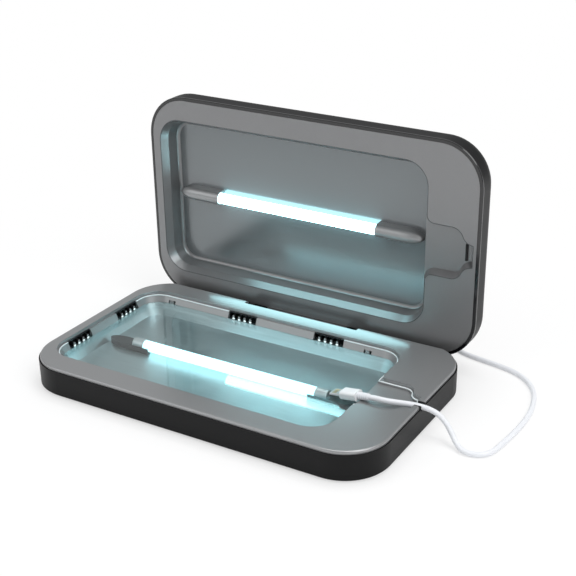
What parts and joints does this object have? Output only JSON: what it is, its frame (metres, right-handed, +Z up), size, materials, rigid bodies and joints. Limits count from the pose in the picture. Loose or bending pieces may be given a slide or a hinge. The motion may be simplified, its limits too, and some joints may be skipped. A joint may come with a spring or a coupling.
{
  "type": "phone sanitizing box",
  "caption": "Clamshell box with an ultraviolet lamp in base and lid, a glass tray for a phone, a hinged lid and a charging cord that enters through a sealed notch.",
  "frame": {"origin": "on the table under the middle of the base's footprint, level with the feet's lower faces", "axes": "+X to the right along the hinge, +Y to the back, +Z up"},
  "size_m": [0.2651, 0.177, 0.1393],
  "materials": {
    "dark_shell": "satin charcoal moulding",
    "grey_deck": "satin mid-grey moulding",
    "black_trim": "glossy black",
    "reflector": "bright rolled sheet",
    "clear_glass": "clear quartz plate",
    "lamp_glass": "lit quartz tube",
    "steel": "zinc plated",
    "black_plastic": "plain moulding",
    "rubber_black": "plain",
    "circuit_green": "solder mask",
    "white_plastic": "satin white overmould",
    "white_cord": "satin white jacket",
    "magnet_metal": "nickel plated",
    "light_lens": "translucent lens"
  },
  "bodies": {
    "base": {"base_shell": "dark_shell", "base_deck": "grey_deck", "base_reflector": "reflector", "clear_plate": "clear_glass", "plate_clips": "grey_deck", "back_vents": "black_plastic", "side_vents": "black_plastic", "base_lamp": "lamp_glass", "base_lamp_caps": "steel", "base_lamp_holders": "black_plastic", "main_board": "circuit_green", "usb_a_port": "steel", "usb_c_port": "steel", "power_board": "circuit_green", "power_inlet": "black_plastic", "inverter_transformer": "black_plastic", "reed_switch": "black_plastic", "rubber_feet": "rubber_black", "case_screws": "steel", "outlet_seal": "rubber_black", "hinge_bracket": "black_plastic", "hinge_pin": "steel", "hinge_screws": "steel", "phone_plug": "white_plastic", "phone_plug_tip": "steel", "phone_plug_boot": "white_cord", "usb_plug": "white_plastic", "usb_plug_shell": "steel", "usb_plug_boot": "white_cord", "charging_cord": "white_cord"},
    "lid": {"lid_hinge_arm": "grey_deck", "lid_hinge_screws": "steel", "lid_shell": "dark_shell", "lid_trim": "black_trim", "lid_panel": "grey_deck", "lid_reflector": "reflector", "lid_cable_seal": "rubber_black", "lid_lamp": "lamp_glass", "lid_lamp_caps": "steel", "lid_lamp_holders": "grey_deck", "lid_magnet": "magnet_metal", "status_light": "light_lens"}
  },
  "joints": [
    {"name": "lid_hinge", "type": "hinge", "parent": "base", "child": "lid", "pos_m": [0, 0.0618, 0.0125], "axis": [1, 0, 0], "range_deg": [0, 90]}
  ]
}
